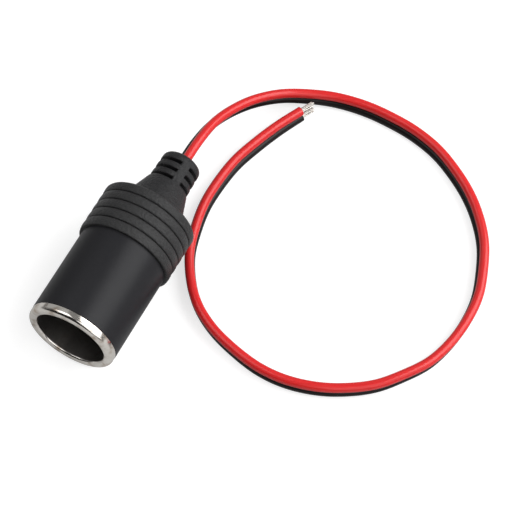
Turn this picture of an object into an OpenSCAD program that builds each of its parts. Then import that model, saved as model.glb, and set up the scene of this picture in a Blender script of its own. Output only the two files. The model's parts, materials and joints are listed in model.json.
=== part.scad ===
// In-line 12 volt power socket on a twin lead, lying on its side.
// Y runs along the socket from its mouth to its tail, Z is up, and the origin is on the
// socket's axis where the straight wall of its bore begins. All lengths are in millimetres.

/* [Socket bore] */
// Diameter of the bore that takes the plug
bore_d = 21; // [20.6:0.1:21.6]
// Depth of the bore, down to the inner face of the sleeve's closed end
bore_depth = 41; // [39:0.5:43]
// Inner radius of the drawn corner at the bottom of the bore
base_round = 3; // [2.6:0.1:3.4]
// Thickness of the sleeve's sheet metal
sheet_t = 0.5; // [0.4:0.05:0.6]

/* [Rim] */
// Width of the rim's skirt, which wraps over the front of the barrel
rim_w = 2.5; // [2:0.1:4]
// Radius of the rim's rounded front edge
rim_round = 1.2; // [0.7:0.05:1.4]
// How far the rim's skirt lies below the barrel's surface
rim_inset = 0.05; // [0:0.05:0.2]

/* [Barrel] */
// Thickness of the barrel's wall around the sleeve
barrel_wall = 2.25; // [1.8:0.05:3]
// Length of barrel seen between the rim and the grip
barrel_show = 27.25; // [22:0.05:30]
// Step in radius from the barrel down to its rear spigot, inside the grip
spigot_step = 1.1; // [0.6:0.05:1.4]
// Gap between the sleeve and the barrel
sleeve_gap = 0.05; // [0.02:0.01:0.15]

/* [Grip] */
// Height of the grip's ribs above the barrel
grip_rise = 1.1; // [0.8:0.05:2]
// Length that the grip reaches back past the barrel's end
grip_back = 3.4; // [2.8:0.1:5]
// Number of ribs
rib_count = 5; // [3:1:6]
// Extra length of the last rib, which turns into the shoulder
last_rib_extra = 0.05; // [0:0.05:1.5]
// Width of each groove
groove_w = 0.4; // [0.3:0.05:0.8]
// Depth of each groove
groove_depth = 0.35; // [0.2:0.05:0.6]
// How much each rib bulges
rib_crown = 0.2; // [0.05:0.01:0.3]
// Bevel on the grip's front edge
grip_bevel = 0.25; // [0.1:0.05:0.5]
// Radius of the grip's rear shoulder
shoulder_round = 1; // [0.5:0.1:1.6]
// Gap between the spigot and the grip's bore
spigot_gap = 0.05; // [0.02:0.01:0.15]

/* [Neck and strain relief] */
// Diameter of the neck at its root
neck_d = 19.4; // [18.6:0.1:21]
// Length of the tapered neck
neck_len = 10.4; // [9.5:0.1:13]
// Diameter where the strain relief begins
relief_d = 12.3; // [11.8:0.1:14]
// Diameter near the strain relief's tip
tip_d = 11.8; // [11.2:0.1:12.6]
// Length of the strain relief
relief_len = 8.8; // [8.4:0.1:11]
// Radius of the rounded tip
tip_round = 1.5; // [0.8:0.1:2]
// Number of slots along each side
slot_count = 3; // [1:1:3]
// Distance from one slot to the next
slot_pitch = 2.8; // [2.2:0.1:3]
// Width of each slot
slot_w = 1.05; // [0.6:0.05:1.3]
// Distance from the tip to the middle of the last slot
slot_end = 3.3; // [2.8:0.1:3.6]
// Diameter of the solid core that the slots leave
slot_core_d = 8; // [7.6:0.1:9]
// Width of the ribs that run along the top and the bottom
spine_w = 2.7; // [1.6:0.1:4]
// Turn of the moulding and the lead about the socket's axis, as it lies
lie_turn = 30; // [20:1:40]

/* [Rear chamber] */
// Room around the solder tags in the chamber behind the sleeve
chamber_room = 0.8; // [0.4:0.1:1.2]
// Length of the chamber's straight part
chamber_len = 3.5; // [3:0.1:4]
// Length of the chamber's tapered end
chamber_taper = 2.3; // [1.5:0.1:3]

/* [Contacts] */
// Diameter of the round centre contact
contact_d = 8.4; // [7:0.1:9.4]
// Thickness of the centre contact
contact_t = 0.6; // [0.5:0.05:0.8]
// Thickness of the insulator's disc, which lies on the bottom of the bore
insulator_t = 1.4; // [1:0.1:1.6]
// Diameter of the insulator's hub, which goes through the sleeve's end
hub_d = 6.8; // [5.6:0.1:7.6]
// Diameter of the rivet's shank
rivet_d = 2.4; // [2:0.1:2.8]
// Diameter of the rivet's front head
rivet_head_d = 4; // [3.2:0.1:5]
// Thickness of each rivet head
rivet_head_t = 0.5; // [0.4:0.05:0.6]
// Diameter of the insulating washer behind the sleeve
washer_d = 8.4; // [7.8:0.1:9.4]
// Thickness of that washer
washer_t = 0.8; // [0.6:0.05:1]
// Clearance of the inner pieces in their holes
fit_gap = 0.05; // [0.02:0.01:0.1]
// Width of the solder tags
tag_w = 3; // [2.4:0.1:3.2]
// Thickness of the solder tags
tag_t = 0.5; // [0.4:0.05:0.6]
// Length that each tag reaches back along its wire
tag_reach = 2.4; // [1.6:0.1:2.8]
// Diameter of the ring that the rivet clamps
ring_d = 6.4; // [6:0.1:7]
// Length of the negative tag's foot on the sleeve's end
foot_len = 1.8; // [1.2:0.1:2.4]
// Clearance between live pieces in the chamber
live_gap = 0.2; // [0.1:0.05:0.3]
// Length of each wire's insulation inside the chamber
insulation_in = 0.7; // [0.3:0.1:1]

/* [Lead] */
// Outer diameter of each wire
wire_d = 2.8; // [2.4:0.1:2.8]
// Diameter of the stranded conductor
core_d = 1.6; // [1.2:0.1:1.8]
// Bare length at the free ends
strip_len = 4.7; // [3:0.1:8]
// How much the moulding squeezes each wire's radius
wire_gap = 0.05; // [0.02:0.01:0.1]

/* [Hidden] */
$fn = 96;

// Radii
bore_r = bore_d / 2;
sleeve_r = bore_r + sheet_t;
barrel_r = sleeve_r + sleeve_gap + barrel_wall;
rim_r = barrel_r - rim_inset;
spigot_r = barrel_r - spigot_step;
grip_r = barrel_r + grip_rise;
neck_r = neck_d / 2;
relief_r = relief_d / 2;
tip_r = tip_d / 2;
wire_r = wire_d / 2;
core_r = core_d / 2;
rivet_r = rivet_d / 2;
hole_gap = rivet_r + fit_gap;

// Places along the axis, from the mouth to the tail
face_y = -sheet_t;
rim_back_y = face_y + rim_w;
grip_y = rim_back_y + barrel_show;
seat_y = bore_depth + sheet_t;
grip_end_y = seat_y + grip_back;
relief_y = grip_end_y + neck_len;
tail_y = relief_y + relief_len;
rib_pitch = (grip_end_y - grip_y - last_rib_extra) / rib_count;
chamber_y = seat_y + chamber_len;
chamber_end_y = chamber_y + chamber_taper;
wall_end_y = bore_depth - base_round;
disc_y = bore_depth - insulator_t;
contact_y = disc_y - contact_t;
ring_y = seat_y + washer_t;
rivet_end_y = ring_y + tag_t + rivet_head_t;
// The wires' insulation and bare ends inside the chamber
insulation_y = chamber_end_y - insulation_in;
core_y = rivet_end_y + live_gap;
// The tags lie against the outer side of the conductors, clear of the rivet's rear head
tag_in = wire_r + core_r;
tag_out = tag_in + tag_t;
tag_end_y = core_y + tag_reach;
rear_head_r = tag_in - live_gap;
// The negative tag's foot lies just outside the washer, and the chamber clears it
foot_in = washer_d / 2 + live_gap;
foot_out = foot_in + foot_len;
chamber_r = foot_out + chamber_room;

// Sides of each wire's tube, and the reach of its corners
wire_sides = 8;
corner_r = wire_r / cos(180 / wire_sides);
// Route of the pair along its middle line, from the tip of the strain relief:
// across, along, drop (0 at the socket's axis, 1 on the ground) and lean of the pair in degrees
route = [
    [0, 0, 0, -lie_turn], [0, 8.5, 0.04, -30], [0.5, 17, 0.2, -25], [2.5, 25, 0.42, -18],
    [6, 32.5, 0.64, -10], [11.5, 39, 0.82, -3], [18.5, 43.5, 0.93, 3], [26, 46.5, 0.98, 8],
    [34.5, 48, 1, 12], [43, 48, 1, 14], [51.5, 47, 1, 15], [60, 44.5, 1, 15],
    [67.5, 40.5, 1, 14], [74.5, 35.5, 1, 14], [80.5, 29.5, 1, 13], [85.5, 22.5, 1, 13],
    [89, 14.5, 1, 13], [91.5, 6, 1, 13], [92, -2.5, 1, 12], [91, -11, 1, 12],
    [88.5, -19, 1, 10], [84, -26, 1, 8], [78.5, -32.5, 1, 6], [71.5, -37.5, 1, 4],
    [64, -41, 1, 3], [55.5, -43, 1, 3], [47, -43, 1, 4], [38, -41, 1, 6],
    [30, -38, 1, 7], [23, -33.5, 1, 7], [17.5, -27.5, 1, 5], [13, -20, 1, 4],
    [10.5, -12, 1, 6], [9, -3.5, 1, 8], [9, 5, 1, 10], [10, 13.5, 1, 11],
    [12.5, 22, 1, 11], [15.5, 30, 1, 9], [19, 37.5, 1, 5],
];
last = len(route) - 1;

// Turns a shape drawn up Z so that it runs along Y
module along_y(y = 0) translate([0, y, 0]) rotate([-90, 0, 0]) children();

// Revolves a [radius, y] outline about the socket's axis
module revolve(outline) along_y() rotate_extrude() polygon(outline);

// Turns a piece about the axis into the way the socket lies
module as_it_lies() rotate([0, lie_turn, 0]) children();

// Points of an arc in the [radius, y] plane
function arc(centre, r, from, to, steps = 6) =
    [for (i = [0:steps]) let (a = from + (to - from) * i / steps) centre + r * [cos(a), sin(a)]];

function unit(v) = v / norm(v);

// Drawn metal cup: bore, closed end with the hub's hole, and the rim folded back over the barrel
module socket_sleeve() {
    hole_r = hub_d / 2 + fit_gap;
    fold_r = rim_round - sheet_t;
    color("silver") revolve(concat(
        arc([sleeve_r, 0], sheet_t, 180, 270),
        arc([rim_r - rim_round, face_y + rim_round], rim_round, -90, 0),
        [[rim_r, rim_back_y], [rim_r - sheet_t, rim_back_y]],
        arc([rim_r - rim_round, face_y + rim_round], fold_r, 0, -90, 3),
        [[sleeve_r, 0]],
        arc([bore_r - base_round, wall_end_y], base_round + sheet_t, 0, 90),
        [[hole_r, seat_y], [hole_r, bore_depth]],
        arc([bore_r - base_round, wall_end_y], base_round, 90, 0)
    ));
}

// Moulded tube: a nose inside the rim, the smooth barrel and the spigot inside the grip
module front_barrel() {
    inner_r = sleeve_r + sleeve_gap;
    nose_r = rim_r - sheet_t - sleeve_gap;
    color("#2c2c2f") revolve([
        [inner_r, 0], [nose_r - rim_round, 0], [nose_r, rim_round], [nose_r, rim_back_y],
        [barrel_r, rim_back_y], [barrel_r, grip_y], [spigot_r, grip_y], [spigot_r, seat_y],
        [inner_r, seat_y],
    ]);
}

// Outline of one rib between two grooves, crowned in the middle
function rib(start, end, steps = 6) = [
    for (i = [0:steps]) let (t = i / steps)
        [grip_r - rib_crown * pow(2 * t - 1, 2), start + (end - start) * t]
];

// Height of the groove's two sides
function rib_start(i) = grip_y + i * rib_pitch + groove_w / 2;

// Moulded over the barrel and the lead: ribbed grip, shoulder, neck and slotted strain relief
module rear_moulding() {
    bore = spigot_r + spigot_gap;
    edge_r = grip_r - rib_crown;
    groove_r = edge_r - groove_depth;
    last_start = rib_start(rib_count - 1);
    shoulder_y = grip_end_y - shoulder_round;
    outline = concat(
        [[bore, grip_y], [edge_r - grip_bevel, grip_y]],
        rib(grip_y + grip_bevel, grip_y + rib_pitch - groove_w / 2),
        [for (i = [1:rib_count - 2]) each concat(
            [[groove_r, grip_y + i * rib_pitch]],
            rib(rib_start(i), rib_start(i + 1) - groove_w)
        )],
        [[groove_r, grip_y + (rib_count - 1) * rib_pitch], [edge_r, last_start],
            [grip_r, (last_start + shoulder_y) / 2]],
        arc([grip_r - shoulder_round, shoulder_y], shoulder_round, 0, 90),
        [[neck_r, grip_end_y], [relief_r, relief_y]],
        arc([tip_r - tip_round, tail_y - tip_round], tip_round, 0, 90),
        [[0, tail_y], [0, chamber_end_y], [tag_out + wire_r, chamber_end_y],
            [chamber_r, chamber_y], [chamber_r, seat_y], [bore, seat_y]]
    );
    color("#303133") difference() {
        revolve(outline);
        as_it_lies() {
            for (side = [-1, 1]) translate([0, 0, side * (wire_r - wire_gap)])
                along_y(chamber_end_y - wire_r) cylinder(r = wire_r, h = tail_y);
            for (i = [0:slot_count - 1]) slot_pair(tail_y - slot_end - i * slot_pitch);
        }
    }
}

// One slot on each side of the strain relief, with the two long ribs left standing between
module slot_pair(y) {
    difference() {
        along_y(y - slot_w / 2) cylinder(r = neck_r, h = slot_w);
        along_y(y - slot_w) cylinder(d = slot_core_d, h = 2 * slot_w);
        translate([-spine_w / 2, y - slot_w, -neck_d]) cube([spine_w, 2 * slot_w, 2 * neck_d]);
    }
}

// Moulded disc on the bottom of the bore, with a hub through the metal
module base_insulator() {
    disc_r = bore_r - base_round - fit_gap;
    bevel = insulator_t / 4;
    color("#34231c") revolve([
        [hole_gap, disc_y], [disc_r - bevel, disc_y], [disc_r, disc_y + bevel],
        [disc_r, bore_depth], [hub_d / 2, bore_depth], [hub_d / 2, seat_y], [hole_gap, seat_y],
    ]);
}

// Round plated contact that the plug's tip presses on
module centre_contact() {
    contact_r = contact_d / 2;
    color("gainsboro") revolve([
        [hole_gap, contact_y], [contact_r - contact_t, contact_y],
        [contact_r, contact_y + contact_t / 2], [contact_r, disc_y], [hole_gap, disc_y],
    ]);
}

// Brass rivet through the contact, the insulator, the washer and the positive tag
module contact_rivet() {
    head_r = rivet_head_d / 2;
    front_y = contact_y - rivet_head_t;
    back_y = ring_y + tag_t;
    color("#c9a24d") revolve([
        [0, front_y], [head_r / 2, front_y], [head_r, contact_y - rivet_head_t / 3],
        [head_r, contact_y], [rivet_r, contact_y], [rivet_r, back_y], [rear_head_r, back_y],
        [rear_head_r, back_y + rivet_head_t / 3], [rear_head_r / 2, rivet_end_y],
        [0, rivet_end_y],
    ]);
}

// Fibre washer between the sleeve's end and the positive tag
module rear_washer() {
    color("#7a3a26") revolve([
        [hole_gap, seat_y], [washer_d / 2, seat_y], [washer_d / 2, ring_y], [hole_gap, ring_y],
    ]);
}

// Extrudes a [y, height] outline to the tags' width
module strap(outline) translate([tag_w / 2, 0, 0]) rotate([90, 0, -90]) mirror([1, 0, 0])
    linear_extrude(height = tag_w) polygon(outline);

// Brass ring under the rivet with a tail bent back along the red wire
module positive_tag() {
    color("#c2a45c") as_it_lies() difference() {
        union() {
            along_y(ring_y) cylinder(d = ring_d, h = tag_t);
            strap([[ring_y, tag_in], [tag_end_y, tag_in], [tag_end_y, tag_out], [ring_y, tag_out]]);
        }
        along_y(ring_y - tag_t) cylinder(r = hole_gap, h = 3 * tag_t);
    }
}

// Tinned strap welded to the sleeve's end, stepped in to reach the black wire
module negative_tag() {
    color("#b9bbb8") as_it_lies() strap([
        [seat_y, -foot_out], [seat_y, -foot_in], [core_y, -foot_in], [core_y, -tag_in],
        [tag_end_y, -tag_in], [tag_end_y, -tag_out], [core_y + tag_t, -tag_out],
        [core_y + tag_t, -foot_in - tag_t], [seat_y + tag_t, -foot_in - tag_t],
        [seat_y + tag_t, -foot_out],
    ]);
}

// Half the height of a wire's tube once it leans
function half_height(lean) = corner_r * cos(180 / wire_sides - abs(lean));

// Height of the pair's middle line when the lower wire lies on the ground
function ground_z(lean) = -grip_r + half_height(lean) + wire_r * cos(lean);

function route_point(i) = let (p = route[i]) [p.x, tail_y + p.y, p[2] * ground_z(p[3])];

// Direction of the route at a point
function heading(i) = i == 0 ? [0, 1, 0]
    : i == last ? unit(route_point(last) - route_point(last - 1))
    : unit(route_point(i + 1) - route_point(i - 1));

// Direction from the black wire to the red one
function pair_up(i) = let (t = heading(i), side = unit(cross(t, [0, 0, 1])), up = cross(side, t))
    cos(route[i][3]) * up - sin(route[i][3]) * side;

// Middle of one wire: sign is 1 for the upper, red one and -1 for the black one
function wire_point(i, sign) = route_point(i) + sign * wire_r * pair_up(i);

// One ring of a wire's tube, with a flat side towards the other wire
function ring(i, sign) = let (up = sign * pair_up(i), across = cross(heading(i), up)) [
    for (k = [0:wire_sides - 1]) let (a = (k + 0.5) * 360 / wire_sides)
        wire_point(i, sign) + corner_r * (cos(a) * up + sin(a) * sign * across)
];

// Sides of the tube between two rings, as triangles that the other wire's mirror
function side_faces(i, sign) = [
    for (k = [0:wire_sides - 1]) let (
        n = (k + 1) % wire_sides, a = i * wire_sides + k, b = i * wire_sides + n,
        c = a + wire_sides, d = b + wire_sides
    ) each sign > 0 ? [[a, d, b], [a, c, d]] : [[a, b, d], [a, d, c]]
];

// The wire's free run, one closed solid from ring to ring
module wire_run(sign) {
    start = [for (k = [0:wire_sides - 1]) k];
    finish = [for (k = [0:wire_sides - 1]) last * wire_sides + k];
    polyhedron(
        points = [for (i = [0:last]) each ring(i, sign)],
        faces = concat(
            [sign > 0 ? start : reverse(start)],
            [for (i = [0:last - 1]) each side_faces(i, sign)],
            [sign > 0 ? reverse(finish) : finish]
        )
    );
}

function reverse(list) = [for (i = [len(list) - 1:-1:0]) list[i]];

// Insulation: a straight run squeezed inside the moulding, then the free run
module wire(sign) {
    as_it_lies() translate([0, 0, sign * wire_r])
        along_y(insulation_y)
            cylinder(r = wire_r - wire_gap, h = tail_y + wire_r / 3 - insulation_y);
    wire_run(sign);
}

module red_wire() color("#d8262c") wire(1);

module black_wire() color("#1c1a1a") wire(-1);

// Bare conductor inside the chamber, soldered to its tag
module solder_end(sign) color("#c9b48c") as_it_lies() translate([0, 0, sign * wire_r])
    along_y(core_y) cylinder(r = core_r, h = insulation_y - core_y);

module red_solder_end() solder_end(1);

module black_solder_end() solder_end(-1);

// Bare tinned conductor at the wire's free end
module bare_end(sign) {
    t = heading(last);
    color("#bdb8ae") translate(wire_point(last, sign))
        rotate([0, acos(t.z), atan2(t.y, t.x)]) cylinder(r = core_r, h = strip_len);
}

module red_bare_end() bare_end(1);

module black_bare_end() bare_end(-1);

socket_sleeve();
front_barrel();
rear_moulding();
base_insulator();
centre_contact();
contact_rivet();
rear_washer();
positive_tag();
negative_tag();
red_wire();
black_wire();
red_solder_end();
black_solder_end();
red_bare_end();
black_bare_end();
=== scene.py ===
"""In-line 12 volt power socket on a twin lead, lying on a pale table.

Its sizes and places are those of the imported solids, but for fine detail and small roundings.
Lengths are in metres, Y runs from the mouth of the socket to its tail, Z is up, and the origin
is on the axis where the bore's wall begins.
"""

import json
import math

import bmesh
import bpy
import numpy as np
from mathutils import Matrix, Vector


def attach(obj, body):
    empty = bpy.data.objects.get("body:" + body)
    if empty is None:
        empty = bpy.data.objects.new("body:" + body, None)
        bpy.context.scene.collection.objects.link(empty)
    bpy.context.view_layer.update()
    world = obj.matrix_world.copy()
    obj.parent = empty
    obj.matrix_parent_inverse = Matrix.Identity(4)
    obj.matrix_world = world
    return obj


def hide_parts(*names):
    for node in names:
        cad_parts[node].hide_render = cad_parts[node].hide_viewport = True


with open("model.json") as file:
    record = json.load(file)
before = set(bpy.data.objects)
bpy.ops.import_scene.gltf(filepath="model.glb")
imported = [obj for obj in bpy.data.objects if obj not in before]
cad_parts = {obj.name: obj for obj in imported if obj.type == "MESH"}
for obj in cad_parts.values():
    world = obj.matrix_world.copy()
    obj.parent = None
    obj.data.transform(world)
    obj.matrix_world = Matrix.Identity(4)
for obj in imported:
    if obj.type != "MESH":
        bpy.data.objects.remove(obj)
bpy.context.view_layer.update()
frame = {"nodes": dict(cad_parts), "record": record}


# The photograph's view: from the front and right of the mouth, high above the table, with a
# long lens. The socket lies at the left of the picture and the loop of its lead at the right.
camera_azimuth = math.radians(28.0)
camera_elevation = math.radians(60.75)
camera_distance = 0.6466
camera_view_angle = math.radians(13.0)
camera_target = Vector((0.0291, 0.0540, -0.0145))

camera_back = Vector((
    math.sin(camera_azimuth) * math.cos(camera_elevation),
    -math.cos(camera_azimuth) * math.cos(camera_elevation),
    math.sin(camera_elevation),
))
camera = bpy.data.objects.new("camera", bpy.data.cameras.new("camera"))
camera.data.angle = camera_view_angle
camera.data.clip_start = 0.01
camera.data.clip_end = 20
camera.location = camera_target + camera_back * camera_distance
camera.rotation_euler = camera_back.to_track_quat("Z", "Y").to_euler()
bpy.context.scene.collection.objects.link(camera)
bpy.context.scene.camera = camera


# Twin lead: two vinyl-covered wires, red above black, drawn side by side and joined by a
# narrow web. It leaves the strain relief a little turned, drops to the table and lies there
# on edge in one open loop that passes the grip and ends above its own start.
wire_radius = 0.0014
tail = 0.0641
grip_radius = 0.0144
lie_turn = math.radians(30)
# Middle line of the pair, as in part.scad: across and along from the tail in mm, drop from
# the axis (0) to the table (1), and lean of the pair in degrees
lead_points = [
    (0, -17.5, 0, -30), (0, -9, 0, -30), (0, 0, 0, -30), (0, 8.5, 0.04, -30),
    (0.5, 17, 0.2, -25), (2.5, 25, 0.42, -18), (6, 32.5, 0.64, -10), (11.5, 39, 0.82, -3),
    (18.5, 43.5, 0.93, 3), (26, 46.5, 0.98, 8), (34.5, 48, 1, 12), (43, 48, 1, 14),
    (51.5, 47, 1, 15), (60, 44.5, 1, 15), (67.5, 40.5, 1, 14), (74.5, 35.5, 1, 14),
    (80.5, 29.5, 1, 13), (85.5, 22.5, 1, 13), (89, 14.5, 1, 13), (91.5, 6, 1, 13),
    (92, -2.5, 1, 12), (91, -11, 1, 12), (88.5, -19, 1, 10), (84, -26, 1, 8),
    (78.5, -32.5, 1, 6), (71.5, -37.5, 1, 4), (64, -41, 1, 3), (55.5, -43, 1, 3),
    (47, -43, 1, 4), (38, -41, 1, 6), (30, -38, 1, 7), (23, -33.5, 1, 7),
    (17.5, -27.5, 1, 5), (13, -20, 1, 4), (10.5, -12, 1, 6), (9, -3.5, 1, 8),
    (9, 5, 1, 10), (10, 13.5, 1, 11), (12.5, 22, 1, 11), (15.5, 30, 1, 9), (19, 37.5, 1, 5),
]


def smooth_line(points, steps=8):
    """Runs a smooth line through the points, with evenly eased bends between them."""
    p = np.array(points, float)
    p = np.vstack([2 * p[0] - p[1], p, 2 * p[-1] - p[-2]])
    t = np.linspace(0, 1, steps, endpoint=False)[:, None]
    runs = [
        0.5 * (2 * b + (c - a) * t + (2 * a - 5 * b + 4 * c - d) * t**2
               + (3 * b - a - 3 * c + d) * t**3)
        for a, b, c, d in zip(p, p[1:], p[2:], p[3:])
    ]
    return np.vstack(runs + [p[-2:-1]])


def unit(vectors):
    return vectors / np.linalg.norm(vectors, axis=-1, keepdims=True)


across, along, drop, lean = smooth_line(lead_points).T
lean = np.radians(lean)
table_height = -grip_radius + wire_radius * (1 + np.cos(lean))
lead_line = np.stack(
    [across / 1000, tail + along / 1000, np.clip(drop, 0, 1) * table_height], axis=1)
lead_heading = unit(np.gradient(lead_line, axis=0))
lead_side = unit(np.cross(lead_heading, (0, 0, 1)))
lead_up = np.cross(lead_side, lead_heading)
# Direction from the black wire to the red one, at each point of the line
to_red = np.cos(lean)[:, None] * lead_up - np.sin(lean)[:, None] * lead_side


def add(tree, kind, inputs=(), **options):
    """Adds a node with its options, and joins or sets its inputs by name or number."""
    node = tree.nodes.new(kind)
    for option, value in options.items():
        setattr(node, option, value)
    for socket, value in dict(inputs).items():
        if isinstance(value, bpy.types.NodeSocket):
            tree.links.new(value, node.inputs[socket])
        else:
            node.inputs[socket].default_value = value
    return node


def calc(tree, operation, *values, clamp=False):
    """One step of arithmetic in a geometry or shader tree, and its result."""
    node = add(tree, "ShaderNodeMath", enumerate(values), operation=operation, use_clamp=clamp)
    return node.outputs[0]


def ease(tree, value, low, high, start=0.0, end=1.0):
    """Rises smoothly from start to end as the value goes from low to high."""
    node = add(tree, "ShaderNodeMapRange", {
        "Value": value, "From Min": low, "From Max": high, "To Min": start, "To Max": end,
    }, interpolation_type="SMOOTHSTEP")
    return node.outputs["Result"]


def shape_tree(name, sizes):
    """Starts a Geometry Nodes tree with a named input for each size, and a material."""
    tree = bpy.data.node_groups.new(name, "GeometryNodeTree")
    kinds = {int: "NodeSocketInt", float: "NodeSocketFloat", Vector: "NodeSocketVector"}
    tree.interface.new_socket("Start", in_out="INPUT", socket_type="NodeSocketGeometry")
    for label, value in sizes.items():
        tree.interface.new_socket(label, in_out="INPUT", socket_type=kinds[type(value)])
    tree.interface.new_socket("Finish", in_out="INPUT", socket_type="NodeSocketMaterial")
    tree.interface.new_socket("Shape", in_out="OUTPUT", socket_type="NodeSocketGeometry")
    return tree, tree.nodes.new("NodeGroupInput").outputs


def end_tree(tree, size, shape):
    """Ends a tree in real geometry that carries its material."""
    real = add(tree, "GeometryNodeRealizeInstances", {0: shape})
    smooth = add(tree, "GeometryNodeSetShadeSmooth", {0: real.outputs[0]})
    dressed = add(tree, "GeometryNodeSetMaterial", {
        "Geometry": smooth.outputs[0], "Material": size["Finish"],
    })
    add(tree, "NodeGroupOutput", {0: dressed.outputs[0]})


def shaped(name, tree, start, sizes, material):
    """Runs a tree on a start mesh and keeps the result as a plain mesh."""
    holder = bpy.data.objects.new(name + "_start", start)
    bpy.context.scene.collection.objects.link(holder)
    modifier = holder.modifiers.new("shape", "NODES")
    modifier.node_group = tree
    for item in tree.interface.items_tree:
        if item.in_out == "INPUT" and item.name in sizes:
            modifier[item.identifier] = sizes[item.name]
        elif item.in_out == "INPUT" and item.name == "Finish":
            modifier[item.identifier] = material
    ready = holder.evaluated_get(bpy.context.evaluated_depsgraph_get())
    mesh = bpy.data.meshes.new_from_object(ready)
    mesh.name = name
    bpy.data.objects.remove(holder)
    piece = bpy.data.objects.new(name, mesh)
    bpy.context.scene.collection.objects.link(piece)
    return piece


def new_material(name, slot):
    """A material with one Principled shader, coloured at first as the record's slot."""
    material = bpy.data.materials.new(name)
    material.use_nodes = True
    shader = material.node_tree.nodes["Principled BSDF"]
    colour = next(m["base_color"] for m in frame["record"]["materials"] if m["slot"] == slot)
    shader.inputs["Base Color"].default_value = (*colour[:3], 1)
    return material, material.node_tree, shader


def look_group(name, takes):
    """Starts a shader node group that takes these and gives a colour, roughness and height."""
    group = bpy.data.node_groups.new(name, "ShaderNodeTree")
    gives = {"Colour": "Color", "Roughness": "Float", "Height": "Float"}
    for in_out, sockets in (("INPUT", takes), ("OUTPUT", gives)):
        for label, kind in sockets.items():
            group.interface.new_socket(label, in_out=in_out, socket_type="NodeSocket" + kind)
    return group, group.nodes.new("NodeGroupInput").outputs


def feed(tree, shader, look, depth):
    """Feeds a placed look group to a shader, with its height this deep in metres."""
    bump = add(tree, "ShaderNodeBump", {"Height": look.outputs["Height"], "Distance": depth})
    tree.links.new(look.outputs["Colour"], shader.inputs["Base Color"])
    tree.links.new(look.outputs["Roughness"], shader.inputs["Roughness"])
    tree.links.new(bump.outputs["Normal"], shader.inputs["Normal"])


# Moulded skin, for every vinyl and plastic piece: fine grain, broad faint waves in the gloss
# and a little pale dust that settles on what faces up. The scales are in turns to the metre.
wave_scale = 260.0
speck_scale = 2600.0
dust_dulls = 0.5
skin, given = look_group("moulded_skin", {
    "Place": "Vector", "Colour": "Color", "Dust Colour": "Color", "Dust": "Float",
    "Grain Size": "Float", "Roughness": "Float", "Unevenness": "Float",
})
grain = add(skin, "ShaderNodeTexNoise", {
    "Vector": given["Place"], "Scale": calc(skin, "DIVIDE", 1.0, given["Grain Size"]),
    "Detail": 3.0, "Roughness": 0.6,
}).outputs["Fac"]
waves = add(skin, "ShaderNodeTexNoise", {
    "Vector": given["Place"], "Scale": wave_scale, "Detail": 4.0, "Roughness": 0.55,
}).outputs["Fac"]
specks = add(skin, "ShaderNodeTexNoise", {
    "Vector": given["Place"], "Scale": speck_scale, "Detail": 2.0,
}).outputs["Fac"]
facing = add(skin, "ShaderNodeSeparateXYZ", {
    0: add(skin, "ShaderNodeTexCoord").outputs["Normal"],
}).outputs["Z"]
settled = calc(skin, "MULTIPLY", ease(skin, facing, 0.0, 1.0), given["Dust"])
speckled = calc(skin, "MULTIPLY", settled, ease(skin, specks, 0.5, 0.72, 0.15, 1.0))
dusty = calc(skin, "MULTIPLY", speckled, ease(skin, waves, 0.3, 0.7, 0.4, 1.0))
tinted = add(skin, "ShaderNodeMix", {
    "Factor": dusty, 6: given["Colour"], 7: given["Dust Colour"],
}, data_type="RGBA")
gloss_shift = calc(skin, "MULTIPLY", calc(skin, "SUBTRACT", waves, 0.5), given["Unevenness"])
add(skin, "NodeGroupOutput", {
    "Colour": tinted.outputs[2],
    "Roughness": calc(
        skin, "ADD", calc(skin, "ADD", given["Roughness"], gloss_shift),
        calc(skin, "MULTIPLY", dusty, dust_dulls), clamp=True),
    "Height": grain,
})


def skinned(tree, shader, place, *, colour, dust_colour, dust, grain_size, roughness, unevenness,
            depth):
    """Gives a shader the moulded skin, with its grain this deep in metres."""
    feed(tree, shader, add(tree, "ShaderNodeGroup", {
        "Place": place, "Colour": colour, "Dust Colour": dust_colour, "Dust": dust,
        "Grain Size": grain_size, "Roughness": roughness, "Unevenness": unevenness,
    }, node_tree=skin), depth)


def vinyl_material(name, slot, *, colour, streak_colour, dust, roughness, shine):
    """Glossy extruded vinyl, with faint lengthwise die lines and colour streaks."""
    material, tree, shader = new_material(name, slot)
    follow = add(tree, "ShaderNodeAttribute", attribute_name="along_wire").outputs["Vector"]
    round_scale, length_scale = 9, 45
    stretched = add(tree, "ShaderNodeMapping", {
        "Vector": follow, "Scale": (round_scale, round_scale, length_scale),
    })
    lines = add(tree, "ShaderNodeTexNoise", {
        "Vector": stretched.outputs[0], "Scale": 1.0, "Detail": 3.0,
    }).outputs["Fac"]
    streaks = add(tree, "ShaderNodeMix", {
        "Factor": ease(tree, lines, 0.35, 0.7), 6: colour, 7: streak_colour,
    }, data_type="RGBA")
    place = add(tree, "ShaderNodeTexCoord").outputs["Object"]
    skinned(tree, shader, place, colour=streaks.outputs[2], dust_colour=(0.75, 0.72, 0.68, 1),
            dust=dust, grain_size=0.0006, roughness=roughness, unevenness=0.05, depth=0.000008)
    shader.inputs["Specular IOR Level"].default_value = shine
    shader.inputs["Coat Weight"].default_value = 0.05
    shader.inputs["Coat Roughness"].default_value = 0.12
    return material


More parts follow.
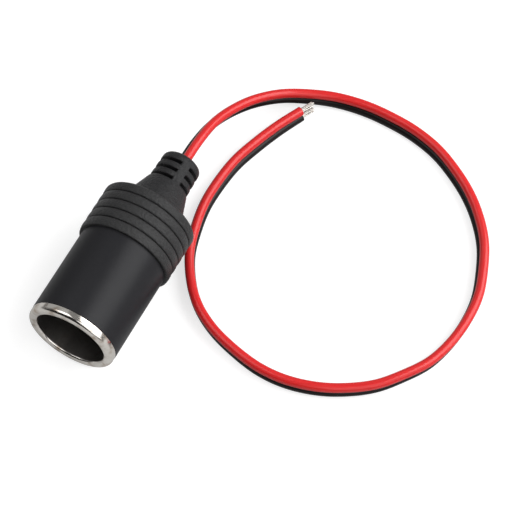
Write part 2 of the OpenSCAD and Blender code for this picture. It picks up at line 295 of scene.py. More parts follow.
wire_sizes = {"Wire Radius": wire_radius, "Web Angle": math.radians(17), "Sides": 40}
wire_tree, size = shape_tree("wire_along_line", wire_sizes)
line = add(wire_tree, "GeometryNodeMeshToCurve", {0: size["Start"]})
partner = add(wire_tree, "GeometryNodeInputNamedAttribute", {"Name": "to_partner"},
              data_type="FLOAT_VECTOR")
facing_line = add(wire_tree, "GeometryNodeSetCurveNormal", {
    "Curve": line.outputs[0], "Normal": partner.outputs[0],
}, mode="FREE")
length = add(wire_tree, "GeometryNodeSplineParameter").outputs["Length"]
kept_length = add(wire_tree, "GeometryNodeStoreNamedAttribute", {
    "Geometry": facing_line.outputs[0], "Name": "length_along", "Value": length,
}, data_type="FLOAT", domain="POINT")
circle = add(wire_tree, "GeometryNodeCurvePrimitiveCircle", {
    "Resolution": size["Sides"], "Radius": size["Wire Radius"],
})
spot = add(wire_tree, "ShaderNodeSeparateXYZ", {
    0: add(wire_tree, "GeometryNodeInputPosition").outputs[0],
}).outputs
turn = calc(wire_tree, "ARCTAN2", spot["Y"], spot["X"])
web = calc(wire_tree, "LESS_THAN", calc(wire_tree, "ABSOLUTE", turn), size["Web Angle"])
webbed = add(wire_tree, "GeometryNodeSetPosition", {
    "Geometry": circle.outputs[0], "Selection": web,
    "Position": add(wire_tree, "ShaderNodeCombineXYZ", {
        "X": size["Wire Radius"], "Y": spot["Y"], "Z": 0.0,
    }).outputs[0],
})
kept_turn = add(wire_tree, "GeometryNodeStoreNamedAttribute", {
    "Geometry": webbed.outputs[0], "Name": "turn_round", "Value": turn,
}, data_type="FLOAT", domain="POINT")
tube = add(wire_tree, "GeometryNodeCurveToMesh", {
    "Curve": kept_length.outputs[0], "Profile Curve": kept_turn.outputs[0], "Fill Caps": True,
})
turn_round = add(wire_tree, "GeometryNodeInputNamedAttribute", {"Name": "turn_round"},
                 data_type="FLOAT").outputs[0]
length_along = add(wire_tree, "GeometryNodeInputNamedAttribute", {"Name": "length_along"},
                   data_type="FLOAT").outputs[0]
followed = add(wire_tree, "GeometryNodeStoreNamedAttribute", {
    "Geometry": tube.outputs[0], "Name": "along_wire",
    "Value": add(wire_tree, "ShaderNodeCombineXYZ", {
        "X": calc(wire_tree, "COSINE", turn_round), "Y": calc(wire_tree, "SINE", turn_round),
        "Z": length_along,
    }).outputs[0],
}, data_type="FLOAT_VECTOR", domain="POINT")
end_tree(wire_tree, size, followed.outputs[0])


def line_mesh(name, points, **vectors):
    """A chain of edges through the points, with a vector attribute at each point."""
    mesh = bpy.data.meshes.new(name)
    mesh.from_pydata([tuple(p) for p in points], [(i, i + 1) for i in range(len(points) - 1)], [])
    for label, values in vectors.items():
        layer = mesh.attributes.new(label, "FLOAT_VECTOR", "POINT")
        layer.data.foreach_set("vector", np.asarray(values, np.float32).ravel())
    return mesh


def soften(piece, degrees=40):
    """Shades a piece smooth, with an edge kept sharp where it turns more than this."""
    for polygon in piece.data.polygons:
        polygon.use_smooth = True
    piece.data.set_sharp_from_angle(angle=math.radians(degrees))


def stand_for(piece, node):
    """Lets a finished piece stand for its solid: hides the solid and hangs the piece on the root body.
    """
    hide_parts(node)
    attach(piece, "root")


red_vinyl = vinyl_material(
    "red_vinyl", "red_insulation", colour=(0.61, 0.022, 0.022, 1),
    streak_colour=(0.54, 0.014, 0.016, 1), dust=0.006, roughness=0.23, shine=0.34)
black_vinyl = vinyl_material(
    "black_vinyl", "black_insulation", colour=(0.008, 0.007, 0.007, 1),
    streak_colour=(0.010, 0.006, 0.006, 1), dust=0.004, roughness=0.32, shine=0.18)
wires = {}
for colour, way, material in (("red", 1, red_vinyl), ("black", -1, black_vinyl)):
    wire_line = lead_line + way * wire_radius * to_red
    start = line_mesh(colour + "_line", wire_line, to_partner=-way * to_red)
    wire = shaped(colour + "_wire_cover", wire_tree, start, wire_sizes, material)
    soften(wire, 50)
    wires[colour] = (wire, wire_line)


# Bare ends: the last few millimetres of each wire with the vinyl stripped off, which leaves
# a loosely twisted bundle of fine tinned copper strands, some a little shorter than others.
bare_length = 0.0047
# How far the strands reach into the cover, and how far short of their solid's end they stay
tuck = 0.0003
tip_gap = 0.0001
golden_turn = 2.39996
strand_steps = 9
strand_sides = 8
strand_sizes = {
    "Strands": 12, "Bundle Radius": 0.00070, "Strand Radius": 0.000175,
    "Length": bare_length + tuck - tip_gap, "Twist": 0.6, "Splay": 0.10, "Raggedness": 0.0006,
    "Seed": 3, "Place": Vector((0, 0, 0)), "Heading": Vector((0, 0, 0)),
}
strand_tree, size = shape_tree("twisted_strands", strand_sizes)
roots = add(strand_tree, "GeometryNodePoints", {"Count": size["Strands"]})
number = add(strand_tree, "GeometryNodeInputIndex").outputs[0]
share = calc(strand_tree, "DIVIDE", calc(strand_tree, "ADD", number, 0.5), size["Strands"])
out = calc(strand_tree, "MULTIPLY", calc(strand_tree, "SQRT", share), size["Bundle Radius"])
round_by = calc(strand_tree, "MULTIPLY", number, golden_turn)
spread = add(strand_tree, "GeometryNodeSetPosition", {
    "Geometry": roots.outputs[0],
    "Position": add(strand_tree, "ShaderNodeCombineXYZ", {
        "X": calc(strand_tree, "MULTIPLY", out, calc(strand_tree, "COSINE", round_by)),
        "Y": calc(strand_tree, "MULTIPLY", out, calc(strand_tree, "SINE", round_by)),
        "Z": 0.0,
    }).outputs[0],
})
straight = add(strand_tree, "GeometryNodeCurvePrimitiveLine", {
    "End": add(strand_tree, "ShaderNodeCombineXYZ", {"Z": size["Length"]}).outputs[0],
})
stepped = add(strand_tree, "GeometryNodeResampleCurve", {
    "Curve": straight.outputs[0], "Count": strand_steps,
})
placed = add(strand_tree, "GeometryNodeInstanceOnPoints", {
    "Points": spread.outputs[0], "Instance": stepped.outputs[0],
})
loose = add(strand_tree, "GeometryNodeRealizeInstances", {0: placed.outputs[0]})
strand_number = add(strand_tree, "GeometryNodeCurveOfPoint").outputs["Curve Index"]
ragged = add(strand_tree, "FunctionNodeRandomValue", {
    "ID": strand_number, "Seed": size["Seed"], 2: 0.0, 3: size["Raggedness"],
}, data_type="FLOAT").outputs[1]
spot = add(strand_tree, "ShaderNodeSeparateXYZ", {
    0: add(strand_tree, "GeometryNodeInputPosition").outputs[0],
}).outputs
reach = calc(strand_tree, "DIVIDE", spot["Z"], size["Length"])
twist = calc(strand_tree, "MULTIPLY", reach, size["Twist"])
spread_out = calc(strand_tree, "ADD", 1.0, calc(
    strand_tree, "MULTIPLY", calc(strand_tree, "POWER", reach, 2.0), size["Splay"]))
turned_spot = add(strand_tree, "ShaderNodeVectorRotate", {
    "Vector": add(strand_tree, "ShaderNodeCombineXYZ", {
        "X": calc(strand_tree, "MULTIPLY", spot["X"], spread_out),
        "Y": calc(strand_tree, "MULTIPLY", spot["Y"], spread_out),
        "Z": calc(strand_tree, "SUBTRACT", spot["Z"], calc(strand_tree, "MULTIPLY", reach, ragged)),
    }).outputs[0],
    "Angle": twist,
}, rotation_type="Z_AXIS")
twisted = add(strand_tree, "GeometryNodeSetPosition", {
    "Geometry": loose.outputs[0], "Position": turned_spot.outputs[0],
})
strand_round = add(strand_tree, "GeometryNodeCurvePrimitiveCircle", {
    "Resolution": strand_sides, "Radius": size["Strand Radius"],
})
bundle = add(strand_tree, "GeometryNodeCurveToMesh", {
    "Curve": twisted.outputs[0], "Profile Curve": strand_round.outputs[0], "Fill Caps": True,
})
aimed = add(strand_tree, "GeometryNodeTransform", {
    "Geometry": bundle.outputs[0], "Translation": size["Place"], "Rotation": size["Heading"],
})
end_tree(strand_tree, size, aimed.outputs[0])

tinned, tree, shader = new_material("tinned_copper", "tinned_strands")
place = add(tree, "ShaderNodeTexCoord").outputs["Object"]
patches = add(tree, "ShaderNodeTexNoise", {"Vector": place, "Scale": 1500.0, "Detail": 3.0})
copper_tint = add(tree, "ShaderNodeMix", {
    "Factor": ease(tree, patches.outputs["Fac"], 0.45, 0.75),
    6: (0.58, 0.56, 0.53, 1), 7: (0.40, 0.35, 0.30, 1),
}, data_type="RGBA")
tree.links.new(copper_tint.outputs[2], shader.inputs["Base Color"])
tree.links.new(ease(tree, patches.outputs["Fac"], 0.3, 0.7, 0.22, 0.42), shader.inputs["Roughness"])
shader.inputs["Metallic"].default_value = 1

for seed, colour in enumerate(("red", "black"), strand_sizes["Seed"]):
    wire, wire_line = wires[colour]
    heading = Vector(wire_line[-1] - wire_line[-2]).normalized()
    start = line_mesh(colour + "_root", wire_line[-1:])
    strands = shaped(colour + "_strands", strand_tree, start, {
        **strand_sizes, "Seed": seed, "Place": Vector(wire_line[-1]) - heading * tuck,
        "Heading": Vector(heading.to_track_quat("Z", "Y").to_euler()),
    }, tinned)
    stand_for(strands, colour + "_bare_end")
    stand_for(wire, colour + "_wire")


# Rear moulding: flexible black vinyl moulded in one shot over the barrel's spigot and the
# lead. Its front is a ribbed finger grip. Behind the rounded shoulder it tapers to a strain
# relief, slotted on both sides so that it bends with the lead.
grip_front = 0.02925
grip_end = 0.0449
spigot_radius = 0.0122
seat = 0.0415
shoulder_round = 0.0010
neck_radius = 0.0097
neck_end = 0.0553
relief_radius = 0.00615
tip_radius = 0.0059
slot_width = 0.00105
slot_pitch = 0.0028
last_slot = tail - 0.0033
rib_count = 5
slot_count = 3
seat_gap = 0.00005
rib_pitch = (grip_end - grip_front - seat_gap) / rib_count
rib_groove_width = 0.00044
neck_fillet = 0.0008
tip_round = 0.0015
chamber_radius = 0.0070
chamber_cone = 0.0450
chamber_end = 0.0473
passage_radius = 0.0041
# Length over which the grip's painted sheen fades into the neck's darker colour
grip_sheen_fade = 0.002


def rounded(corners, steps=6):
    """An outline through (radius, y, rounding) corners, each turned into an arc."""
    almost_straight = 1.55
    outline = []
    for before, corner, after in zip(corners[-1:] + corners, corners, corners[1:] + corners[:1]):
        spot = np.array(corner[:2])
        back, on = unit(np.array(before[:2]) - spot), unit(np.array(after[:2]) - spot)
        half = 0.5 * math.acos(np.clip(back @ on, -1, 1))
        if not corner[2] or half > almost_straight:
            outline.append(spot)
            continue
        middle = spot + unit(back + on) * corner[2] / math.sin(half)
        first, last = (spot + way * corner[2] / math.tan(half) - middle for way in (back, on))
        for t in np.linspace(0, 1, steps + 1):
            outline.append(middle + corner[2] * unit(first * (1 - t) + last * t))
    return outline


def turned(name, outline, steps=160):
    """Turns a closed outline of (radius, y) points about the socket's axis."""
    bm = bmesh.new()
    rings = []
    for radius, y in outline:
        turns = np.arange(steps) * 2 * math.pi / steps if radius > 1e-7 else [0.0]
        rings.append([bm.verts.new((radius * math.sin(a), y, radius * math.cos(a)))
                      for a in turns])
    for ring, after in zip(rings, rings[1:] + rings[:1]):
        if len(ring) == len(after) == 1:
            continue
        for i in range(steps):
            j = (i + 1) % steps
            corners = [ring[i % len(ring)], ring[j % len(ring)],
                       after[j % len(after)], after[i % len(after)]]
            bm.faces.new(dict.fromkeys(corners))
    bmesh.ops.recalc_face_normals(bm, faces=bm.faces)
    mesh = bpy.data.meshes.new(name)
    bm.to_mesh(mesh)
    bm.free()
    return mesh


# Places along the grip and the relief where the ribs and the slots need points
groove_places = [grip_front + rib_pitch * i for i in range(1, rib_count)]
grip_steps = sorted(
    [g + rib_groove_width / 2 * t for g in groove_places for t in np.linspace(-1, 1, 9)]
    + [grip_front + rib_pitch * (i + t) for i in range(rib_count) for t in (0.2, 0.35, 0.5, 0.65, 0.8)])
slot_places = [last_slot - slot_pitch * i for i in range(slot_count)]
relief_steps = sorted([0.0500, 0.0525, neck_end + 0.0000001] + [
    s + side * (slot_width / 2 + t) for s in slot_places for side in (-1, 1)
    for t in (-0.0002, -0.00004, 0.00004, 0.0001, 0.0002, 0.0004)])


def skin_radius(y):
    """Radius of the plain skin under the slots, on the neck's end and the relief."""
    if y < neck_end:
        return np.interp(y, (grip_end, neck_end), (neck_radius, relief_radius))
    return np.interp(y, (neck_end, tail), (relief_radius, tip_radius))


moulding_outline = rounded(
    [(spigot_radius + seat_gap, grip_front, 0), (grip_radius, grip_front, 0.00025)]
    + [(grip_radius, y, 0) for y in grip_steps if y < grip_end - 1.5 * shoulder_round]
    + [(grip_radius, grip_end, shoulder_round), (neck_radius, grip_end, neck_fillet)]
    + [(skin_radius(y), y, 0) for y in relief_steps if y < tail - tip_round - 0.0001]
    + [(tip_radius, tail, tip_round), (0, tail, 0), (0, chamber_end, 0),
       (passage_radius, chamber_end, 0), (chamber_radius, chamber_cone, 0),
       (chamber_radius, seat, 0), (spigot_radius + seat_gap, seat, 0)])

moulding_sizes = {
    "Grip Front": grip_front, "Rib Pitch": rib_pitch, "Ribs": rib_count,
    "Rib Crown": 0.00024, "Groove Depth": 0.00045, "Groove Half Width": rib_groove_width / 2,
    "Last Slot": last_slot, "Slot Pitch": slot_pitch, "Slots": slot_count,
    "Slot Half Width": slot_width / 2, "Slot Core Radius": 0.0040, "Spine Half Width": 0.00135,
    "Spine Turn": lie_turn, "Slot Wall Slope": 0.00003, "Slot Edge Round": 0.0003,
    "Slot Edge Drop": 0.00012, "Ribs Outside": 0.0128, "Ribs Before": grip_end - 0.0005,
    "Slots Outside": 0.0042, "Slots After": 0.0538, "Least": 0.000001,
}
moulding_tree, size = shape_tree("ribs_and_slots", moulding_sizes)
spot = add(moulding_tree, "ShaderNodeSeparateXYZ", {
    0: add(moulding_tree, "GeometryNodeInputPosition").outputs[0],
}).outputs
radius = calc(moulding_tree, "SQRT", calc(
    moulding_tree, "ADD", calc(moulding_tree, "POWER", spot["X"], 2.0),
    calc(moulding_tree, "POWER", spot["Z"], 2.0)))
# Ribs: the skin falls a little towards each groove, and steeply in it
rib_place = calc(moulding_tree, "DIVIDE", calc(
    moulding_tree, "SUBTRACT", spot["Y"], size["Grip Front"]), size["Rib Pitch"])
groove = calc(moulding_tree, "MINIMUM", calc(
    moulding_tree, "MAXIMUM", calc(moulding_tree, "ROUND", rib_place), 0.0),
    calc(moulding_tree, "SUBTRACT", size["Ribs"], 1.0))
from_groove = calc(moulding_tree, "MULTIPLY", calc(
    moulding_tree, "ABSOLUTE", calc(moulding_tree, "SUBTRACT", rib_place, groove)),
    size["Rib Pitch"])
is_groove = calc(moulding_tree, "GREATER_THAN", groove, 0.5)
depth = calc(moulding_tree, "MULTIPLY", is_groove, calc(
    moulding_tree, "MULTIPLY", size["Groove Depth"],
    ease(moulding_tree, from_groove, 0.0, size["Groove Half Width"], 1.0, 0.0)))
half_pitch = calc(moulding_tree, "MULTIPLY", size["Rib Pitch"], 0.5)
crown = calc(moulding_tree, "MULTIPLY", size["Rib Crown"], calc(
    moulding_tree, "POWER", calc(
        moulding_tree, "SUBTRACT", 1.0,
        calc(moulding_tree, "DIVIDE", from_groove, half_pitch), clamp=True), 2.0))
on_grip = calc(moulding_tree, "MULTIPLY", calc(
    moulding_tree, "LESS_THAN", spot["Y"], size["Ribs Before"]),
    calc(moulding_tree, "GREATER_THAN", radius, size["Ribs Outside"]))
ribbed = calc(moulding_tree, "SUBTRACT", radius, calc(
    moulding_tree, "MULTIPLY", on_grip, calc(moulding_tree, "ADD", depth, crown)))
# Slots: the skin drops to the core on both sides of the long spines
slot = calc(moulding_tree, "MINIMUM", calc(
    moulding_tree, "MAXIMUM", calc(
        moulding_tree, "ROUND", calc(moulding_tree, "DIVIDE", calc(
            moulding_tree, "SUBTRACT", size["Last Slot"], spot["Y"]), size["Slot Pitch"])), 0.0),
    calc(moulding_tree, "SUBTRACT", size["Slots"], 1.0))
from_slot = calc(moulding_tree, "ABSOLUTE", calc(
    moulding_tree, "SUBTRACT", calc(moulding_tree, "SUBTRACT", size["Last Slot"], spot["Y"]),
    calc(moulding_tree, "MULTIPLY", slot, size["Slot Pitch"])))
past_wall = calc(moulding_tree, "SUBTRACT", from_slot, size["Slot Half Width"])
slope = size["Slot Wall Slope"]
in_slot = ease(
    moulding_tree, past_wall, calc(moulding_tree, "MULTIPLY", slope, -1.0), slope, 1.0, 0.0)
near_slot = ease(
    moulding_tree, past_wall, 0.0, size["Slot Edge Round"], size["Slot Edge Drop"], 0.0)
off_spine = calc(moulding_tree, "ABSOLUTE", calc(
    moulding_tree, "SUBTRACT",
    calc(moulding_tree, "MULTIPLY", spot["X"], calc(moulding_tree, "COSINE", size["Spine Turn"])),
    calc(moulding_tree, "MULTIPLY", spot["Z"], calc(moulding_tree, "SINE", size["Spine Turn"]))))
wall_radius = calc(moulding_tree, "DIVIDE", calc(
    moulding_tree, "MULTIPLY", size["Spine Half Width"], radius),
    calc(moulding_tree, "MAXIMUM", off_spine, size["Least"]))
cut_radius = calc(moulding_tree, "MAXIMUM", calc(
    moulding_tree, "MINIMUM", wall_radius, radius), size["Slot Core Radius"])
beside_spine = calc(moulding_tree, "GREATER_THAN", off_spine, size["Spine Half Width"])
drop_in = calc(moulding_tree, "MULTIPLY", in_slot, calc(
    moulding_tree, "SUBTRACT", radius, cut_radius))
drop_near = calc(moulding_tree, "MULTIPLY", beside_spine, calc(
    moulding_tree, "MULTIPLY", near_slot, calc(moulding_tree, "SUBTRACT", 1.0, in_slot)))
on_relief = calc(moulding_tree, "MULTIPLY", calc(
    moulding_tree, "GREATER_THAN", spot["Y"], size["Slots After"]), calc(
    moulding_tree, "GREATER_THAN", radius, size["Slots Outside"]))
new_radius = calc(moulding_tree, "SUBTRACT", ribbed, calc(
    moulding_tree, "MULTIPLY", on_relief, calc(moulding_tree, "ADD", drop_in, drop_near)))
shrink = calc(moulding_tree, "DIVIDE", new_radius, calc(
    moulding_tree, "MAXIMUM", radius, size["Least"]))
pressed = add(moulding_tree, "GeometryNodeSetPosition", {
    "Geometry": size["Start"],
    "Position": add(moulding_tree, "ShaderNodeCombineXYZ", {
        "X": calc(moulding_tree, "MULTIPLY", spot["X"], shrink), "Y": spot["Y"],
        "Z": calc(moulding_tree, "MULTIPLY", spot["Z"], shrink),
    }).outputs[0],
})
end_tree(moulding_tree, size, pressed.outputs[0])

soft_black, tree, shader = new_material("soft_black_vinyl", "black_moulding")
place = add(tree, "ShaderNodeTexCoord").outputs["Object"]
along_body = add(tree, "ShaderNodeSeparateXYZ", {0: place}).outputs["Y"]
# The grip is painted a shade paler than the neck and the strain relief: a painted sheen for the light
# that falls on the grip
colour_with_grip_sheen = add(tree, "ShaderNodeMix", {
    "Factor": ease(tree, along_body, grip_end - shoulder_round, grip_end + grip_sheen_fade),
    6: (0.0235, 0.0235, 0.0240, 1), 7: (0.0150, 0.0150, 0.0158, 1),
}, data_type="RGBA").outputs[2]
skinned(tree, shader, place, colour=colour_with_grip_sheen, dust_colour=(0.35, 0.35, 0.36, 1), dust=0.026,
        grain_size=0.00070, roughness=0.40, unevenness=0.20, depth=0.00040)
shader.inputs["Specular IOR Level"].default_value = 0.22
moulding = shaped("grip_and_strain_relief", moulding_tree,
                  turned("moulding_blank", moulding_outline, 256), moulding_sizes, soft_black)
soften(moulding, 45)
stand_for(moulding, "rear_moulding")


# Front barrel: a smooth tube of hard black plastic, moulded and pushed over the sleeve. Its
# nose is hidden by the sleeve's folded rim, and its spigot by the grip.
barrel_radius = 0.0133
barrel_inside = 0.01105
rim_back = 0.0020
nose_front = 0.0003
nose_tip_radius = 0.0115
nose_radius = 0.0127
nose_round_end = 0.0015


def turned_piece(name, outline, steps, *materials):
    """A piece turned from its outline, with its materials and smooth shading."""
    piece = bpy.data.objects.new(name, turned(name, outline, steps))
    for material in materials:
        piece.data.materials.append(material)
    bpy.context.scene.collection.objects.link(piece)
    soften(piece)
    return piece


hard_black, tree, shader = new_material("hard_black_plastic", "black_shell")
skinned(tree, shader, add(tree, "ShaderNodeTexCoord").outputs["Object"],
        colour=(0.0145, 0.0145, 0.0165, 1), dust_colour=(0.35, 0.35, 0.36, 1), dust=0.006,
        grain_size=0.00022, roughness=0.38, unevenness=0.08, depth=0.000012)
shader.inputs["Specular IOR Level"].default_value = 0.14
barrel = turned_piece("smooth_barrel", rounded([
    (barrel_inside, nose_front, 0), (nose_tip_radius, nose_front, 0),
    (nose_radius, nose_round_end, 0), (nose_radius, rim_back, 0),
    (barrel_radius, rim_back, 0.00015), (barrel_radius, grip_front, 0),
    (spigot_radius, grip_front, 0), (spigot_radius, seat, 0.0002), (barrel_inside, seat, 0),
]), 256, hard_black)
stand_for(barrel, "front_barrel")


# Socket sleeve: one cup drawn from thin steel and nickel plated. It is the negative contact.
# Its open end is turned outwards and folded back over the barrel as the bright rim, and its
# drawn inside is duller, and painted darker as painted shade for the deep bore.
sheet = 0.0005
bore_radius = 0.0105
rim_radius = 0.01325
bore_depth = 0.0410
hub_hole = 0.00345
# The lip is a little rounder than its solid's, because the photograph's opening is that wide
lip_round = 0.0008
rim_round = 0.0012
base_round = 0.0030
# Where along the axis the bore's darker material, with its painted shade, begins
bore_shade_from = 0
cloud_scale = 330.0
waviness = 14.0
plating, given = look_group("plated_metal", {
    "Place": "Vector", "Colour": "Color", "Tarnish": "Color", "Polish": "Float", "Wear": "Float",
})
clouds = add(plating, "ShaderNodeTexNoise", {
    "Vector": given["Place"], "Scale": cloud_scale, "Detail": 2.0, "Roughness": 0.5,
}).outputs["Fac"]
drawn = add(plating, "ShaderNodeMapping", {"Vector": given["Place"], "Scale": (2600, 120, 2600)})
draw_lines = add(plating, "ShaderNodeTexNoise", {
    "Vector": drawn.outputs[0], "Scale": 1.0, "Detail": 2.0,
}).outputs["Fac"]
smudge = calc(plating, "MULTIPLY", ease(plating, clouds, 0.45, 0.75), given["Wear"])
tarnished = add(plating, "ShaderNodeMix", {
    "Factor": smudge, 6: given["Colour"], 7: given["Tarnish"],
}, data_type="RGBA")
add(plating, "NodeGroupOutput", {
    "Colour": tarnished.outputs[2],
    "Roughness": calc(
        plating, "ADD", given["Polish"],
        calc(plating, "MULTIPLY", calc(plating, "ADD", smudge, draw_lines), 0.08), clamp=True),
    "Height": calc(plating, "MULTIPLY_ADD", clouds, waviness, draw_lines),
})


def plated(name, slot, *, colour, tarnish, polish, wear, depth):
    """A plated or bare metal with faint draw lines and cloudy tarnish."""
    material, tree, shader = new_material(name, slot)
    feed(tree, shader, add(tree, "ShaderNodeGroup", {
        "Place": add(tree, "ShaderNodeTexCoord").outputs["Object"], "Colour": colour,
        "Tarnish": tarnish, "Polish": polish, "Wear": wear,
    }, node_tree=plating), depth)
    shader.inputs["Metallic"].default_value = 1
    return material


nickel = plated("polished_nickel", "nickel_plate", colour=(0.78, 0.745, 0.695, 1),
                tarnish=(0.38, 0.30, 0.23, 1), polish=0.11, wear=0.9, depth=0.000004)
# The bore is darker than the rim: partly its duller drawn finish, partly painted shade for the deep
# bore
inside = plated("dull_bore_painted_shade", "nickel_plate", colour=(0.32, 0.305, 0.295, 1),
                tarnish=(0.21, 0.185, 0.165, 1), polish=0.28, wear=0.7, depth=0.000004)
sleeve = turned_piece("nickel_sleeve", rounded([
    (bore_radius, -sheet, lip_round), (rim_radius, -sheet, rim_round),
    (rim_radius, rim_back, 0.00018), (rim_radius - sheet, rim_back, 0.0001),
    (rim_radius - sheet, 0, rim_round - sheet), (bore_radius + sheet, 0.0002, 0),
    (bore_radius + sheet, seat, base_round + sheet), (hub_hole, seat, 0),
    (hub_hole, bore_depth, 0), (bore_radius, bore_depth, base_round),
], 12), 256, nickel, inside)
for polygon in sleeve.data.polygons:
    middle = polygon.center
    in_bore = math.hypot(middle.x, middle.z) < bore_radius + 0.0002
    if in_bore and bore_shade_from < middle.y < bore_depth + 0.0001:
        polygon.material_index = 1
stand_for(sleeve, "socket_sleeve")


# Bottom of the bore: a dark moulded insulator with a ring groove, the round plated contact
# that meets the plug's tip, and the brass rivet that clamps them through the sleeve's end.
insulator_face = 0.0396
insulator_radius = 0.00745
insulator_hub_radius = 0.0034
groove_floor = 0.0399
contact_face = 0.0390
contact_flat_radius = 0.0034
contact_radius = 0.0042
rivet_face = 0.0387
rivet_end = 0.0433
rivet_radius = 0.0012
rivet_head_radius = 0.0020
rivet_hole = 0.00125
phenolic, tree, shader = new_material("dark_phenolic", "phenolic")
skinned(tree, shader, add(tree, "ShaderNodeTexCoord").outputs["Object"],
        colour=(0.020, 0.012, 0.009, 1), dust_colour=(0.20, 0.17, 0.14, 1), dust=0.05,
        grain_size=0.00040, roughness=0.5, unevenness=0.12, depth=0.00004)
insulator = turned_piece("bore_insulator", rounded([
    (rivet_hole, insulator_face, 0), (0.0053, insulator_face, 0.0002),
    (0.0055, groove_floor, 0.0002), (0.0062, groove_floor, 0.0002),
    (0.0064, insulator_face, 0.0002), (0.0071, insulator_face, 0.0003),
    (insulator_radius, 0.0400, 0.0002), (insulator_radius, bore_depth, 0),
    (insulator_hub_radius, bore_depth, 0), (insulator_hub_radius, seat, 0), (rivet_hole, seat, 0),
], 4), 160, phenolic)
stand_for(insulator, "base_insulator")

contact_nickel = plated("contact_nickel", "contact_plate", colour=(0.66, 0.64, 0.60, 1),
                        tarnish=(0.42, 0.37, 0.30, 1), polish=0.2, wear=0.5, depth=0.000002)
contact = turned_piece("tip_contact", rounded([
    (rivet_hole, contact_face, 0), (contact_flat_radius, contact_face, 0.0003),
    (contact_radius, 0.0393, 0.0002), (contact_radius, insulator_face, 0),
    (rivet_hole, insulator_face, 0),
], 6), 160, contact_nickel)
stand_for(contact, "centre_contact")

rivet_brass = plated("rivet_brass", "rivet_brass", colour=(0.78, 0.58, 0.28, 1),
                     tarnish=(0.45, 0.30, 0.14, 1), polish=0.25, wear=0.6, depth=0.000003)
rivet = turned_piece("centre_rivet", rounded([
    (0, rivet_face, 0), (0.0006, rivet_face, 0.0002), (0.0011, 0.0385, 0.0002),
    (0.0017, 0.0386, 0.0003), (rivet_head_radius, contact_face, 0), (rivet_radius, contact_face, 0),
    (rivet_radius, 0.0428, 0), (rivet_head_radius, 0.0428, 0), (0.0018, 0.0432, 0.0002),
    (0.0010, rivet_end, 0), (0, rivet_end, 0),
], 5), 96, rivet_brass)
stand_for(rivet, "contact_rivet")


# Behind the sleeve, sealed inside the moulding: a fibre washer, the brass ring tag under the
# rivet, the tinned strap welded to the sleeve, and the two soldered conductors. Their solids
# are shaped right already and take only their finish here.
fibre, tree, shader = new_material("vulcanised_fibre", "fibre_washer")
skinned(tree, shader, add(tree, "ShaderNodeTexCoord").outputs["Object"],
        colour=(0.26, 0.085, 0.050, 1), dust_colour=(0.35, 0.20, 0.15, 1), dust=0.3,
        grain_size=0.0003, roughness=0.7, unevenness=0.15, depth=0.00005)
brass = plated("tag_brass", "tag_brass", colour=(0.76, 0.58, 0.30, 1),
               tarnish=(0.42, 0.29, 0.15, 1), polish=0.3, wear=0.6, depth=0.000003)
tin = plated("dull_tin", "tag_tinned", colour=(0.62, 0.62, 0.60, 1),
             tarnish=(0.40, 0.39, 0.37, 1), polish=0.35, wear=0.6, depth=0.000003)
solder = plated("solder", "tinned_strands", colour=(0.66, 0.66, 0.65, 1),
                tarnish=(0.45, 0.44, 0.42, 1), polish=0.18, wear=0.4, depth=0.000004)
for node, material in {
    "rear_washer": fibre, "positive_tag": brass, "negative_tag": tin,
    "red_solder_end": solder, "black_solder_end": solder,
}.items():
    held = frame["nodes"][node].data.materials
    for index in range(len(held)):
        held[index] = material


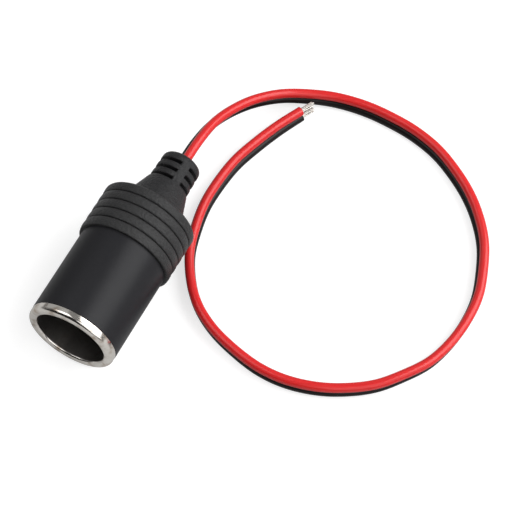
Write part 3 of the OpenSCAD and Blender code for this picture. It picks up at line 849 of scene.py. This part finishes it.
# Table and light: a pale matt table that glows a little, a bright even room that is dark in
# front of the mouth, and four soft boxes, at the front left, left, right behind and front
# right. The one right behind gives the barrel its soft highlight.
table_half = 3
table_glow = 0.08
table_glow_seen = 0.60
room_light = 0.2
room_dark = 0.02
room_dark_at = -0.5
room_light_at = -0.2
light_middle = Vector((0.03, 0.04, 0))
table_mesh = bpy.data.meshes.new("table_top")
table_mesh.from_pydata(
    [(x * table_half, y * table_half, -grip_radius) for x, y in ((-1, -1), (1, -1), (1, 1), (-1, 1))],
    [], [(0, 1, 2, 3)])
table = bpy.data.objects.new("table_top", table_mesh)
bpy.context.scene.collection.objects.link(table)
paper = bpy.data.materials.new("pale_paper")
paper.use_nodes = True
matt = paper.node_tree.nodes["Principled BSDF"].inputs
matt["Base Color"].default_value = (0.45, 0.45, 0.45, 1)
matt["Roughness"].default_value = 0.9
matt["Specular IOR Level"].default_value = 0.1
matt["Emission Color"].default_value = (1, 1, 1, 1)
# The table glows more in the camera's own view than in reflections
seen = add(paper.node_tree, "ShaderNodeLightPath").outputs["Is Camera Ray"]
glow = calc(paper.node_tree, "MULTIPLY_ADD", seen, table_glow_seen, table_glow)
paper.node_tree.links.new(glow, matt["Emission Strength"])
table_mesh.materials.append(paper)

room = bpy.data.worlds.new("room")
room.use_nodes = True
wall = room.node_tree.nodes["Background"].inputs
wall["Color"].default_value = (1, 1, 1, 1)
# The room is dark in front of the mouth, which draws a dark line along the rim's rounding
ahead = add(room.node_tree, "ShaderNodeSeparateXYZ", {
    0: add(room.node_tree, "ShaderNodeTexCoord").outputs["Generated"],
}).outputs["Y"]
seen = add(room.node_tree, "ShaderNodeLightPath").outputs["Is Camera Ray"]
strength = calc(
    room.node_tree, "MAXIMUM", calc(room.node_tree, "MULTIPLY", seen, room_light),
    ease(room.node_tree, ahead, room_dark_at, room_light_at, room_dark, room_light))
room.node_tree.links.new(strength, wall["Strength"])
bpy.context.scene.world = room
bpy.context.scene.view_settings.view_transform = "Standard"


def soft_box(name, direction, distance, width, power):
    """A square soft box that faces the socket from this direction."""
    data = bpy.data.lights.new(name, "AREA")
    data.size = width
    data.energy = power
    light = bpy.data.objects.new(name, data)
    towards = Vector(direction).normalized()
    light.location = light_middle + towards * distance
    light.rotation_euler = towards.to_track_quat("Z", "Y").to_euler()
    bpy.context.scene.collection.objects.link(light)


soft_box("front_left_box", (-0.46, -0.12, 0.87), distance=1.3, width=0.92, power=4.6)
soft_box("left_box", (-0.69, 0.431, 0.58), distance=1.0, width=1.0, power=0.65)
soft_box("right_behind_box", (0.61, 0.431, 0.66), distance=1.0, width=0.98, power=12.6)
soft_box("front_right_box", (0.66, -0.38, 0.62), distance=1.0, width=1.15, power=6.2)
